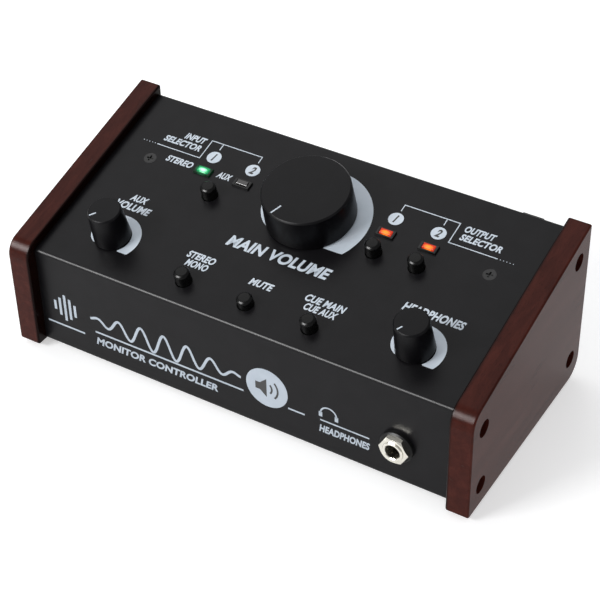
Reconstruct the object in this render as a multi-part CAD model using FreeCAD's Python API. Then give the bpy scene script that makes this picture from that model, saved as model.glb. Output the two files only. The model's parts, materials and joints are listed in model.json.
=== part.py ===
import FreeCAD, Part
import math
import os

from FreeCAD import Vector

# A desktop monitor controller: a sheet-steel box with a sloping top between two wooden end cheeks.
# It is drawn on the bench: x to the right from the middle, y back from the cheeks' front faces,
# z up from the cheeks' undersides. save() moves it to its own frame, +Z up, origin under the middle.

# Overall sizes, in mm
WIDTH = 220.0               # across both cheeks
CHEEK_DEPTH = 102.8
CHEEK_FRONT_HEIGHT = 51.8
CHEEK_REAR_HEIGHT = 77.6
CHEEK_THICKNESS = 10.3
CHEEK_RIM = 0.8             # rounding of the cheeks' edges
CHEEK_CORNERS = (1.2, 8.0, 1.0, 9.0)    # corner radii: front foot, front top, rear top, rear foot
FOOT_HEIGHT = 2.2
SHEET = 1.2                 # steel sheet of the case
BEND = 1.6                  # outer radius of its bends
FRONT_RECESS = 5.3          # the front panel behind the cheeks' front faces
REAR_RECESS = 0.5
TOP_RECESS = 4.0            # the top panel below the cheeks' sloping edges, square to the slope
DC_REACH = 3.9              # the power inlet behind the rear panel
GAP = 0.3                   # between cover and tray

SLOPE = math.atan2(CHEEK_REAR_HEIGHT - CHEEK_FRONT_HEIGHT, CHEEK_DEPTH)
PANEL_HALF = WIDTH / 2 - CHEEK_THICKNESS
PANEL_START = CHEEK_FRONT_HEIGHT - TOP_RECESS / math.cos(SLOPE)   # height of the top's plane at y = 0
REAR = CHEEK_DEPTH - REAR_RECESS
ORIGIN_Y = (REAR + DC_REACH) / 2                                  # middle of the whole depth

# Places on the sloping top, as (x, v): v runs up the slope from the plane's line at y = 0
MAIN_AT = (0.0, 69.0)
AUX_AT = (-72.2, 25.3)
PHONES_AT = (72.2, 25.3)
SWITCH_MIDDLE = -1.1        # switches and lamps are centred a little left of the knobs
LAMP_V = 72.5
LAMP_X = (34.9, 54.7)       # to each side of their middle
TOP_SCREW_AT = (82.2, 69.7)
REAR_BUTTON_V = 61.5
FRONT_BUTTON_V = 17.1
FRONT_BUTTON_PITCH = 30.0

# Rotary controls: place, case width and depth, bush radius, nut across flats, washer radius, shaft's top
CONTROLS = {
    "main": {"at": MAIN_AT, "case": (17.0, 20.0), "bush": 4.5, "nut": 11.0, "washer": 8.0, "shaft": 12.6},
    "aux": {"at": AUX_AT, "case": (10.0, 11.0), "bush": 3.5, "nut": 9.5, "washer": 5.8, "shaft": 14.0},
    "phones": {"at": PHONES_AT, "case": (10.0, 11.0), "bush": 3.5, "nut": 9.5, "washer": 5.8, "shaft": 14.0},
}

# Buttons: name, place, and whether it is latched down at rest
BUTTONS = (
    ("input", (SWITCH_MIDDLE - sum(LAMP_X) / 2, REAR_BUTTON_V), False),
    ("output_1", (SWITCH_MIDDLE + LAMP_X[0], REAR_BUTTON_V), False),
    ("output_2", (SWITCH_MIDDLE + LAMP_X[1], REAR_BUTTON_V), False),
    ("mono", (SWITCH_MIDDLE - FRONT_BUTTON_PITCH, FRONT_BUTTON_V), False),
    ("mute", (SWITCH_MIDDLE, FRONT_BUTTON_V), True),
    ("pfl", (SWITCH_MIDDLE + FRONT_BUTTON_PITCH, FRONT_BUTTON_V), False),
)
BUTTON_TRAVEL = 1.8
BUTTON_TOP = 6.2            # a released cap's top above the panel
BUTTON_RADIUS = 3.45
BUTTON_ROUNDING = 1.0
BUTTON_CLEARANCE = 0.25
BUTTON_LENGTH = 8.4
PLUNGER_DEPTH = 5.5         # a plunger's reach into its cap
PLUNGER_HALF = 1.6
SWITCH_LEGS = [(x, 2.5 * k) for x in (-2.5, 2.5) for k in range(-1, 2)]

# Lamps: half sizes of the lens, of the frame on the panel and of its skirt through the panel
LENS_HALF = (2.7, 1.25)
FRAME_HALF = (4.15, 2.25)
SKIRT_HALF = (3.3, 1.75)
FRAME_HEIGHT = 1.0
LAMP_LEG_X = 1.27

# Heights square to the slope, from the top panel's outer face
BOARD_TOP = -11.0
BOARD = 1.6                 # circuit boards' thickness
KNOB_START = 0.8
KNOB_SKIRT = 1.8
KNOB_CHAMFER = 0.7
BOSS_START = 5.6            # the knobs' bosses end above the nuts
MAIN_KNOB = (19.5, 19.1, 18.5, 16.2)    # radius of the skirt, of the shoulder, of the flat top; height
SMALL_KNOB = (8.1, 7.25, 6.7, 17.2)
MAIN_KNOB_WALL = 2.3
MAIN_BOSS = 5.5
SMALL_HOLLOW = 6.5
SHAFT_RADIUS = 3.0          # 6 mm shafts
SHAFT_BORE = 3.05
SHAFT_FOOT = -3.0

# Front socket
JACK_X = 75.6
JACK_Z = 19.5
JACK_BORE = 3.3             # for a 6.35 mm plug
JACK_BARREL = 4.6
JACK_REACH = 5.0
JACK_COLLAR = 7.4
JACK_CASE_FRONT = FRONT_RECESS + SHEET + 0.2
JACK_SEAT = 6.0             # the bush's length inside the case

# Rear connectors, x from the middle
COMBO_X = (-17.0, -46.0)
XLR_X = (62.0, 33.0)
FLANGED_Z = 34.0
LINE_JACK_X = 8.0
LINE_JACK_Z = (44.0, 22.0)
MINI_JACK_AT = (-78.0, 34.0)
MINI_BARREL = 2.9
MINI_BORE = 1.8             # for a 3.5 mm plug
DC_AT = (83.3, 64.2)
DC_WIDTH = 9.4
DC_HEIGHT = 11.0
DC_LEG_Y = 81.5             # the inlet's two legs stand in the control board
DC_SOCKET = 2.8
DC_SOCKET_DEPTH = 9.5
DC_PIN = 1.05
DC_STUB = 0.8
FLANGE_WIDTH = 26.0
FLANGE_HEIGHT = 31.0
FLANGE = 1.8
FLANGE_SCREW_X = 9.5        # screws at two opposite corners of a flange
FLANGE_SCREW_Z = 12.0
SOCKET_RADIUS = 11.8        # body of a flanged connector
CONNECTOR_FRONT = 77.5      # where the rear connectors end inside

# Screws: shank radius, the hole it runs in and the threaded hole that it holds in
M3 = 1.45
M3_HOLE = 1.6
M3_THREAD = 1.5
CLINCH_STUB = 2.4           # clinched nuts and posts: the stub in the tray and the collar on it
CLINCH_COLLAR = 2.8
PANEL_CLEARANCE = 0.2       # round bushes and barrels in the case's holes
CHEEK_HOLES = ((9.8, 41.1), (9.8, 11.0), (92.3, 64.8), (93.0, 12.6))
COUNTERBORE = 3.9
COUNTERBORE_DEPTH = 4.5
BASE_SCREW_X = 45.0
FLANGE_DEPTH = 16.0         # the cover's inward flanges
FLANGE_MIDDLE = 9.0
FOOT_X = 83.0
FOOT_INSET = 8.7            # from the panel's faces to a foot's middle
FOOT_SEAT = 0.75            # rubber under a foot's screw head

MAIN_BOARD_Z = 6.5
X_AXIS = Vector(1, 0, 0)
Y_AXIS = Vector(0, 1, 0)
Z_AXIS = Vector(0, 0, 1)


# ---------------------------------------------------------------- small helpers

def save(name, *solids):
    """Write one node in the object's own frame."""
    shape = solids[0] if len(solids) == 1 else Part.makeCompound(list(solids))
    shape = shape.copy()
    shape.translate(Vector(0, -ORIGIN_Y, FOOT_HEIGHT))
    shape.exportStep(f"parts/{name}.step")


def box(x, y, z):
    """A box from three (low, high) pairs."""
    size = [pair[1] - pair[0] for pair in (x, y, z)]
    return Part.makeBox(*size, Vector(x[0], y[0], z[0]))


def rectangle(half, start, end, more=0.0):
    """A box about the z axis from its half sizes, both enlarged by a little."""
    return box((-half[0] - more, half[0] + more), (-half[1] - more, half[1] + more), (start, end))


def disc(radius, start, end, at=(0, 0), axis=Z_AXIS):
    """A cylinder from start to end along an axis; at holds the two other coordinates in X, Y, Z order."""
    if axis == X_AXIS:
        base = Vector(start, at[0], at[1])
    elif axis == Y_AXIS:
        base = Vector(at[0], start, at[1])
    else:
        base = Vector(at[0], at[1], start)
    return Part.makeCylinder(radius, end - start, base, axis)


def prism(across_flats, start, end, at=(0, 0), axis=Z_AXIS):
    """A hexagonal bar with its corners chamfered at the end face."""
    corner = across_flats / math.sqrt(3)
    face = across_flats / 2 - 0.1
    points = [Vector(corner * math.cos(a), corner * math.sin(a), 0)
              for a in (math.radians(60 * k) for k in range(7))]
    bar = Part.Face(Part.makePolygon(points)).extrude(Vector(0, 0, end - start))
    bar = bar.common(Part.makeCone(face + 1.7 * (end - start), face, end - start))
    if axis == Z_AXIS:
        bar.translate(Vector(at[0], at[1], start))
    else:
        bar.rotate(Vector(), X_AXIS, -90)
        bar.translate(Vector(at[0], start, at[1]))
    return bar


def turned(points):
    """A solid of revolution about z from (radius, height) points."""
    outline = Part.makePolygon([Vector(r, 0, h) for r, h in points + [points[0]]])
    return Part.Face(outline).revolve(Vector(), Z_AXIS, 360)


def along_x(points, low, high):
    """A (y, z) outline drawn out along x."""
    outline = Part.makePolygon([Vector(low, y, z) for y, z in points + [points[0]]])
    return Part.Face(outline).extrude(Vector(high - low, 0, 0))


def edges_along(shape, axis, keep):
    """Straight edges parallel to an axis whose middle passes a test."""
    found = []
    for edge in shape.Edges:
        if len(edge.Vertexes) != 2 or not isinstance(edge.Curve, Part.Line):
            continue
        if abs(edge.Curve.Direction.dot(axis)) > 0.999 and keep(edge.CenterOfMass):
            found.append(edge)
    return found


def tilt(shape, x=0.0, v=0.0):
    """Carry a shape drawn square to the top panel (x, v, height) onto the slope."""
    placed = shape.copy()
    placed.translate(Vector(x, v, 0))
    placed.rotate(Vector(), X_AXIS, math.degrees(SLOPE))
    placed.translate(Vector(0, 0, PANEL_START))
    return placed


def top_height(y):
    return PANEL_START + y * math.tan(SLOPE)


def cross_recess(depth, at_height, at=(0, 0)):
    """The cross of a Phillips head, sunk from a given height."""
    arms = [box((-1.5, 1.5), (-0.4, 0.4), (at_height - depth, at_height + 0.1)),
            box((-0.4, 0.4), (-1.5, 1.5), (at_height - depth, at_height + 0.1))]
    cross = arms[0].fuse(arms[1])
    cross.translate(Vector(at[0], at[1], 0))
    return cross


def pan_screw(length, head=2.7, head_height=1.7):
    """A pan-head screw, its head above z = 0 and its shank below."""
    shank = disc(M3, -length, 0)
    button = disc(head, 0, head_height)
    button = button.makeFillet(head_height * 0.45, [e for e in button.Edges if e.CenterOfMass.z > 0.1
                                                   and isinstance(e.Curve, Part.Circle)])
    return shank.fuse(button).removeSplitter().cut(cross_recess(1.0, head_height))


def turned_to(shape, axis, at):
    """Turn a screw drawn with its head up so that its head faces along an axis, and place it."""
    placed = shape.copy()
    rotation = FreeCAD.Rotation(Z_AXIS, axis)
    placed.Placement = FreeCAD.Placement(at, rotation).multiply(placed.Placement)
    return placed


# ---------------------------------------------------------------- case

def cover_profile(inset, bottom):
    """The cover's section, drawn in by a distance square to each side."""
    front = FRONT_RECESS + inset
    rear = REAR - inset
    drop = inset / math.cos(SLOPE)
    return [(front, bottom), (front, top_height(front) - drop),
            (rear, top_height(rear) - drop), (rear, bottom)]


def sheet_body(inset, bottom, bend, low, high):
    body = along_x(cover_profile(inset, bottom), low, high)
    return body.makeFillet(bend, edges_along(body, X_AXIS, lambda c: True))


def cover_holes():
    holes = [tilt(disc(control["bush"] + PANEL_CLEARANCE, -3, 1), *control["at"])
             for control in CONTROLS.values()]
    holes += [tilt(disc(BUTTON_RADIUS + BUTTON_CLEARANCE, -3, 1), *at) for _, at, _ in BUTTONS]
    for side in (-1, 1):
        holes += [tilt(rectangle(SKIRT_HALF, -3, 1, 0.1), SWITCH_MIDDLE + side * x, LAMP_V) for x in LAMP_X]
        holes.append(tilt(disc(M3_HOLE, -3, 1), side * TOP_SCREW_AT[0], TOP_SCREW_AT[1]))
        countersink = Part.makeCone(M3_HOLE, 2.95, 1.4, Vector(0, 0, -1.35))
        holes.append(tilt(countersink, side * TOP_SCREW_AT[0], TOP_SCREW_AT[1]))
    holes.append(disc(JACK_BARREL + PANEL_CLEARANCE, 0, 12, (JACK_X, JACK_Z), Y_AXIS))
    wall = (REAR - 3, REAR + 1)
    for x in COMBO_X + XLR_X:
        holes.append(disc(SOCKET_RADIUS + PANEL_CLEARANCE, *wall, (x, FLANGED_Z), Y_AXIS))
        for side in (-1, 1):
            at = (x + side * FLANGE_SCREW_X, FLANGED_Z + side * FLANGE_SCREW_Z)
            holes.append(disc(M3_HOLE, *wall, at, Y_AXIS))
    holes += [disc(JACK_BARREL + PANEL_CLEARANCE, *wall, (LINE_JACK_X, z), Y_AXIS) for z in LINE_JACK_Z]
    holes.append(disc(MINI_BARREL + PANEL_CLEARANCE, *wall, MINI_JACK_AT, Y_AXIS))
    clear = 0.1
    holes.append(box((DC_AT[0] - DC_WIDTH / 2 - clear, DC_AT[0] + DC_WIDTH / 2 + clear), wall,
                     (DC_AT[1] - DC_HEIGHT / 2 - clear, DC_AT[1] + DC_HEIGHT / 2 + clear)))
    for x in (-1, 1):
        for y in (FRONT_RECESS, REAR):
            inward = 1 if y == FRONT_RECESS else -1
            holes.append(disc(M3_HOLE, -1, 2, (x * BASE_SCREW_X, y + inward * FLANGE_MIDDLE)))
            holes.append(disc(M3_HOLE, -1, 2, (x * FOOT_X, y + inward * FOOT_INSET)))
    return holes


def top_cover():
    """Front, top and rear in one bent sheet, with flanges turned in under the tray."""
    outer = sheet_body(0, 0, BEND, -PANEL_HALF, PANEL_HALF)
    inner = sheet_body(SHEET, SHEET, BEND - SHEET, -PANEL_HALF - 1, PANEL_HALF + 1)
    middle = box((-PANEL_HALF - 1, PANEL_HALF + 1), (FRONT_RECESS + FLANGE_DEPTH, REAR - FLANGE_DEPTH),
                 (-1, SHEET + 0.5))
    return outer.cut(inner).cut(middle).cut(Part.makeCompound(cover_holes()))


def base_tray():
    """Bottom and side walls in one bent sheet, inside the cover."""
    low = SHEET + 0.1
    top = CHEEK_REAR_HEIGHT
    outer = box((-PANEL_HALF, PANEL_HALF), (0, CHEEK_DEPTH), (low, top))
    outer = outer.makeFillet(2.0, edges_along(outer, Y_AXIS, lambda c: c.z < low + 1))
    inner = box((SHEET - PANEL_HALF, PANEL_HALF - SHEET), (-1, CHEEK_DEPTH + 1), (low + SHEET, top + 1))
    inner = inner.makeFillet(0.8, edges_along(inner, Y_AXIS, lambda c: c.z < low + SHEET + 1))
    tray = outer.cut(inner).common(sheet_body(SHEET + GAP, low, 1.0, -PANEL_HALF, PANEL_HALF))
    holes = []
    for side in (-1, 1):
        face = side * (PANEL_HALF - SHEET)
        for at in CHEEK_HOLES:
            tray = tray.fuse(disc(2.6, *sorted((face + side * 0.1, face - side * 1.4)), at, X_AXIS))
            holes.append(disc(M3_THREAD, *sorted((side * PANEL_HALF + side, face - side * 3)), at, X_AXIS))
        for y in (FRONT_RECESS, REAR):
            inward = 1 if y == FRONT_RECESS else -1
            holes.append(disc(CLINCH_STUB + 0.05, 0, 3, (side * BASE_SCREW_X, y + inward * FLANGE_MIDDLE)))
            holes.append(disc(M3_THREAD, 0, 3, (side * FOOT_X, y + inward * FOOT_INSET)))
        holes += [disc(CLINCH_STUB + 0.05, 0, 3, at) for at in main_board_corners() if at[0] * side > 0]
    return tray.cut(Part.makeCompound(holes))


def cheek(side):
    """A wooden end cheek: rounded corners, softened edges, four counterbored screw holes."""
    corners = [(0, 0), (0, CHEEK_FRONT_HEIGHT), (CHEEK_DEPTH, CHEEK_REAR_HEIGHT), (CHEEK_DEPTH, 0)]
    low, high = sorted((side * WIDTH / 2, side * PANEL_HALF))
    board = along_x(corners, low, high)
    for corner, radius in zip(corners, CHEEK_CORNERS):
        near = edges_along(board, X_AXIS, lambda c: math.dist((c.y, c.z), corner) < 0.5)
        board = board.makeFillet(radius, near)
    rims = [e for e in board.Edges if min(e.CenterOfMass.x - low, high - e.CenterOfMass.x) < 0.01]
    board = board.makeFillet(CHEEK_RIM, rims)
    holes = []
    mouth = sorted((side * (WIDTH / 2 + 1), side * (WIDTH / 2 - COUNTERBORE_DEPTH)))
    for at in CHEEK_HOLES:
        holes.append(disc(M3_HOLE, low - 1, high + 1, at, X_AXIS))
        holes.append(disc(COUNTERBORE, *mouth, at, X_AXIS))
    return board.cut(Part.makeCompound(holes))


def cheek_screws():
    screw = pan_screw(10.0, 3.0, 1.9)
    seat = WIDTH / 2 - COUNTERBORE_DEPTH
    return [turned_to(screw, Vector(side, 0, 0), Vector(side * seat, *at))
            for side in (-1, 1) for at in CHEEK_HOLES]


def top_screw():
    head = Part.makeCone(M3, 2.85, 1.3, Vector(0, 0, -1.3))
    screw = head.fuse(disc(M3, -7, -1.3))
    return screw.cut(cross_recess(0.8, 0.0))


def base_fixings():
    """Screws from below through the cover's flanges, and the clinch nuts pressed into the tray."""
    screws = []
    nuts = []
    floor = 2 * SHEET + 0.1
    for x in (-BASE_SCREW_X, BASE_SCREW_X):
        for y in (FRONT_RECESS + FLANGE_MIDDLE, REAR - FLANGE_MIDDLE):
            screws.append(turned_to(pan_screw(5.0, 2.6, 1.5), Vector(0, 0, -1), Vector(x, y, 0)))
            nut = disc(CLINCH_COLLAR, floor, floor + 1.6, (x, y))
            nut = nut.fuse(disc(CLINCH_STUB, SHEET + 0.2, floor + 0.1, (x, y)))
            nuts.append(nut.cut(disc(M3_THREAD, 0, 6, (x, y))))
    return screws, nuts


def feet():
    """Rubber feet with a sunk screw each."""
    pads = []
    screws = []
    for x in (-FOOT_X, FOOT_X):
        for y in (FRONT_RECESS + FOOT_INSET, REAR - FOOT_INSET):
            low = -FOOT_HEIGHT
            pad = turned([(0, 0), (6.3, 0), (5.6, low + 0.5), (5.1, low), (0, low)])
            pad = pad.cut(disc(3.1, -FOOT_HEIGHT - 1, -FOOT_SEAT)).cut(disc(M3_THREAD, -4, 1))
            pad.translate(Vector(x, y, 0))
            pads.append(pad)
            screws.append(turned_to(pan_screw(5.5, 2.7, 1.2), Vector(0, 0, -1), Vector(x, y, -FOOT_SEAT)))
    return pads, screws


# ---------------------------------------------------------------- controls

def knob_body(skirt, shoulder, flat, top):
    """A knob's outer form: a short skirt, a slight taper and a chamfered flat top."""
    return turned([(0, KNOB_START), (skirt, KNOB_START), (skirt, KNOB_SKIRT), (shoulder, top - KNOB_CHAMFER),
                   (flat, top), (0, top)])


def main_knob():
    """A wide low knob: hollow underneath, with a boss on the shaft."""
    skirt, _, _, top = MAIN_KNOB
    hollow = disc(skirt - MAIN_KNOB_WALL, 0, top - MAIN_KNOB_WALL).cut(disc(MAIN_BOSS, 0, top))
    under_boss = disc(MAIN_BOSS + 1, 0, BOSS_START)
    shaft_hole = disc(SHAFT_RADIUS, 0, CONTROLS["main"]["shaft"])
    return knob_body(*MAIN_KNOB).cut(hollow).cut(under_boss).cut(shaft_hole)


def small_knob():
    """A slim tapering knob over the shaft's nut."""
    shaft_hole = disc(SHAFT_RADIUS, 0, CONTROLS["aux"]["shaft"])
    return knob_body(*SMALL_KNOB).cut(disc(SMALL_HOLLOW, 0, BOSS_START)).cut(shaft_hole)


def shaft(top):
    """A 6 mm control shaft with a turned collar in the control's body."""
    return disc(SHAFT_RADIUS, SHAFT_FOOT, top).fuse(disc(4.2, SHAFT_FOOT - 1.2, SHAFT_FOOT))


def pot_legs(depth):
    return [(4.0 * k, 1.5 - depth / 2) for k in range(-1, 2)]


def pot_body(width, depth, bush):
    """A rotary control's case, its threaded bush and its row of legs in the board."""
    top = -SHEET - 0.2
    body = box((-width / 2, width / 2), (-depth / 2, depth / 2), (BOARD_TOP, top))
    body = body.makeFillet(0.8, edges_along(body, Z_AXIS, lambda c: True))
    body = body.fuse(disc(bush, top - 0.1, 4.6))
    for at in pot_legs(depth):
        body = body.fuse(disc(0.5, BOARD_TOP - 2.6, BOARD_TOP + 0.5, at))
    hollow = disc(4.3, SHAFT_FOOT - 1.4, SHAFT_FOOT + 0.1)
    return body.cut(disc(SHAFT_BORE, SHAFT_FOOT - 0.5, 6)).cut(hollow)


def pot_nut(across_flats, bush):
    return prism(across_flats, 0.6, 2.6).cut(disc(bush, 0, 4))


def pot_washer(radius, bush):
    return disc(radius, 0.05, 0.6).cut(disc(bush, 0, 4))


def button_cap(latched):
    """A round cap with a softly domed top, hollow over its plunger."""
    top = BUTTON_TOP - (BUTTON_TRAVEL if latched else 0)
    low = top - BUTTON_LENGTH
    body = disc(BUTTON_RADIUS, low, top)
    rim = [e for e in body.Edges if isinstance(e.Curve, Part.Circle) and e.CenterOfMass.z > low + 1]
    body = body.makeFillet(BUTTON_ROUNDING, rim)
    return body.cut(rectangle((PLUNGER_HALF, PLUNGER_HALF), low - 1, low + PLUNGER_DEPTH))


def plunger(latched):
    top = BUTTON_TOP - (BUTTON_TRAVEL if latched else 0)
    high = top - BUTTON_LENGTH + PLUNGER_DEPTH
    return rectangle((PLUNGER_HALF, PLUNGER_HALF), high - 11.1, high)


def switch_body():
    """A push switch standing on the control board, open at the top for its plunger."""
    low = BUTTON_TOP - BUTTON_TRAVEL - BUTTON_LENGTH
    body = box((-4.2, 4.2), (-4.2, 4.2), (BOARD_TOP, low - 0.3))
    well = rectangle((PLUNGER_HALF, PLUNGER_HALF), BOARD_TOP + 0.4, low + 1, 0.15)
    body = body.cut(well)
    for at in SWITCH_LEGS:
        body = body.fuse(disc(0.4, BOARD_TOP - 2.4, BOARD_TOP + 0.3, at))
    return body


def lamp():
    """A rectangular lamp with its two wires to the board."""
    top = FRAME_HEIGHT + 0.15
    lens = rectangle(LENS_HALF, -4.0, top)
    lens = lens.makeFillet(0.35, [e for e in lens.Edges if e.CenterOfMass.z > top - 0.05])
    for x in (-LAMP_LEG_X, LAMP_LEG_X):
        lens = lens.fuse(disc(0.3, BOARD_TOP - 2.2, -3.9, (x, 0)))
    return lens


def lamp_bezel():
    frame = rectangle(FRAME_HALF, 0.02, FRAME_HEIGHT)
    frame = frame.makeFillet(0.4, [e for e in frame.Edges if e.CenterOfMass.z > 0.2])
    frame = frame.fuse(rectangle(SKIRT_HALF, -3.0, 0.1))
    return frame.cut(rectangle(LENS_HALF, -5, 2, 0.05))


# ---------------------------------------------------------------- boards

CONTROL_BOARD_X = 88.0
CONTROL_BOARD_V = (11.0, 84.0)
MAIN_BOARD_X = (-88.0, 92.0)
MAIN_BOARD_Y = (14.0, 70.0)
REAR_BOARD_Z = (12.0, 50.0)


def main_board_corners():
    inset = 4.5
    xs = (MAIN_BOARD_X[0] + 15, MAIN_BOARD_X[1] - 30)
    ys = (MAIN_BOARD_Y[0] + inset, MAIN_BOARD_Y[1] - inset)
    return [(x, y) for x in xs for y in ys]


def control_board():
    """The board under the sloping top, drilled for the legs that it carries."""
    board = box((-CONTROL_BOARD_X, CONTROL_BOARD_X), CONTROL_BOARD_V, (BOARD_TOP - BOARD, BOARD_TOP))
    drill = (BOARD_TOP - BOARD - 1, BOARD_TOP + 1)
    holes = []
    for side in (-1, 1):
        holes.append(disc(M3_HOLE, *drill, (side * TOP_SCREW_AT[0], TOP_SCREW_AT[1])))
        for x in LAMP_X:
            middle = SWITCH_MIDDLE + side * x
            holes += [disc(0.45, *drill, (middle + dx, LAMP_V)) for dx in (-LAMP_LEG_X, LAMP_LEG_X)]
    for _, (x, v), _ in BUTTONS:
        holes += [disc(0.5, *drill, (x + dx, v + dv)) for dx, dv in SWITCH_LEGS]
    for control in CONTROLS.values():
        x, v = control["at"]
        holes += [disc(0.6, *drill, (x + dx, v + dv)) for dx, dv in pot_legs(control["case"][1])]
    return tilt(board.cut(Part.makeCompound(holes))).cut(Part.makeCompound(dc_legs(0.5)))


def main_board():
    board = box(MAIN_BOARD_X, MAIN_BOARD_Y, (MAIN_BOARD_Z, MAIN_BOARD_Z + BOARD))
    holes = [disc(M3_HOLE, 0, 20, at) for at in main_board_corners()]
    return board.cut(Part.makeCompound(holes))


def rear_board():
    return box((-84, 76), (CONNECTOR_FRONT - BOARD, CONNECTOR_FRONT), REAR_BOARD_Z)


def board_fixings():
    """Hex standoffs under the top screws, clinched ones under the main board, and a screw for each."""
    standoffs = []
    screws = []
    for side in (-1, 1):
        bar = prism(5.5, BOARD_TOP, -SHEET - 0.1).cut(disc(M3_THREAD, BOARD_TOP - 1, 0))
        standoffs.append(tilt(bar, side * TOP_SCREW_AT[0], TOP_SCREW_AT[1]))
        screw = turned_to(pan_screw(5.0), Vector(0, 0, -1), Vector(0, 0, BOARD_TOP - BOARD))
        screws.append(tilt(screw, side * TOP_SCREW_AT[0], TOP_SCREW_AT[1]))
    floor = 2 * SHEET + 0.1
    for at in main_board_corners():
        post = disc(CLINCH_COLLAR, floor, MAIN_BOARD_Z, at)
        post = post.fuse(disc(CLINCH_STUB, SHEET + 0.2, floor + 0.1, at))
        standoffs.append(post.cut(disc(M3_THREAD, 0, 10, at)))
        screw = pan_screw(6.6)
        screw.translate(Vector(at[0], at[1], MAIN_BOARD_Z + BOARD))
        screws.append(screw)
    return standoffs, screws


def filter_capacitors():
    """Upright cans on the main board, with a rolled-in waist."""
    top = MAIN_BOARD_Z + BOARD
    cans = []
    for x in (-62.0, -48.0, 20.0, 34.0):
        can = turned([(0, 0), (4.6, 0), (5.0, 0.5), (5.0, 1.6), (4.6, 2.1), (5.0, 2.6), (5.0, 11.6),
                      (4.6, 12.0), (0, 12.0)])
        can.translate(Vector(x, 40, top))
        cans.append(can)
    return cans


def amplifier_chips():
    top = MAIN_BOARD_Z + BOARD
    chips = []
    for x in (-20.0, 0.0, 48.0):
        chip = box((x - 3.2, x + 3.2), (45, 54.6), (top + 0.6, top + 4.0))
        for k in range(4):
            y = 46.0 + 2.54 * k
            for left in (x - 4.1, x + 3.1):
                chip = chip.fuse(box((left, left + 1.0), (y - 0.3, y + 0.3), (top, top + 2.2)))
        chips.append(chip)
    return chips


def ribbon_cables():
    """Flat cables: main board up to the control board, and main board back to the rear board."""
    thick = 1.0
    base = MAIN_BOARD_Z + BOARD
    under_control_board = top_height(24) - (BOARD - BOARD_TOP) / math.cos(SLOPE) - 0.05
    up = box((-34, -14), (24, 24 + thick), (base, under_control_board))
    back_low = box((-60, -30), (62, 62 + thick), (base, base + 14))
    back_high = box((-60, -30), (62, CONNECTOR_FRONT - BOARD), (base + 14, base + 14 + thick))
    return [up, back_low.fuse(back_high)]


# ---------------------------------------------------------------- connectors

def phones_jack():
    """The front socket's case on the main board, with a seat for the bush and a bore for a 6.35 mm plug."""
    front = JACK_CASE_FRONT
    case = box((JACK_X - 8, JACK_X + 8), (front, front + 27), (MAIN_BOARD_Z + BOARD, JACK_Z + 8))
    seat = disc(JACK_BARREL, front - 1, front + JACK_SEAT, (JACK_X, JACK_Z), Y_AXIS)
    return case.cut(seat).cut(disc(JACK_BORE, front, front + 24, (JACK_X, JACK_Z), Y_AXIS))


def phones_jack_bush():
    """The metal bush from the case out through the front panel, chamfered at its mouth."""
    mouth = FRONT_RECESS - JACK_REACH
    bush = disc(JACK_BARREL, mouth, JACK_CASE_FRONT + JACK_SEAT, (JACK_X, JACK_Z), Y_AXIS)
    bush = bush.cut(disc(JACK_BORE, mouth - 1, JACK_CASE_FRONT + JACK_SEAT + 1, (JACK_X, JACK_Z), Y_AXIS))
    rims = [e for e in bush.Edges if isinstance(e.Curve, Part.Circle) and e.CenterOfMass.y < mouth + 0.1]
    return bush.makeChamfer(0.3, rims)


def phones_jack_collar():
    """The black ring on the front panel around the barrel."""
    inner = JACK_BARREL + 0.05
    ring = turned([(inner, 0), (JACK_COLLAR, 0), (JACK_COLLAR, 1.7), (JACK_COLLAR - 0.6, 2.3), (inner, 2.3)])
    return turned_to(ring, Vector(0, -1, 0), Vector(JACK_X, FRONT_RECESS - 0.02, JACK_Z))


def phones_jack_nut():
    """A hexagonal ring nut with a chamfered face."""
    nut = prism(11.6, 2.35, 4.4).cut(disc(JACK_BARREL + 0.05, 0, 6))
    return turned_to(nut, Vector(0, -1, 0), Vector(JACK_X, FRONT_RECESS, JACK_Z))


def flange(x):
    plate = box((x - FLANGE_WIDTH / 2, x + FLANGE_WIDTH / 2), (REAR + 0.02, REAR + FLANGE),
                (FLANGED_Z - FLANGE_HEIGHT / 2, FLANGED_Z + FLANGE_HEIGHT / 2))
    plate = plate.makeFillet(3.0, edges_along(plate, Y_AXIS, lambda c: True))
    for side in (-1, 1):
        at = (x + side * FLANGE_SCREW_X, FLANGED_Z + side * FLANGE_SCREW_Z)
        plate = plate.cut(disc(M3_HOLE, REAR - 1, REAR + 3, at, Y_AXIS))
    return plate


def combo_socket(x):
    """A flanged input socket: a 6.35 mm bore in the middle and three contact holes around it."""
    mouth = REAR + FLANGE
    body = disc(SOCKET_RADIUS, CONNECTOR_FRONT, mouth, (x, FLANGED_Z), Y_AXIS).fuse(flange(x))
    ring = disc(10.6, mouth - 5, mouth + 1, (x, FLANGED_Z), Y_AXIS)
    ring = ring.cut(disc(9.4, mouth - 6, mouth + 2, (x, FLANGED_Z), Y_AXIS))
    body = body.cut(ring).cut(disc(JACK_BORE, CONNECTOR_FRONT + 1.5, mouth + 1, (x, FLANGED_Z), Y_AXIS))
    for angle in (40, 140, 270):
        a = math.radians(angle)
        at = (x + 5.6 * math.cos(a), FLANGED_Z + 5.6 * math.sin(a))
        body = body.cut(disc(1.3, mouth - 12, mouth + 1, at, Y_AXIS))
    latch = box((x - 3.5, x + 3.5), (mouth - 0.5, mouth + 1.6), (FLANGED_Z + 11.4, FLANGED_Z + 14.6))
    return body.fuse(latch)


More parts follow.
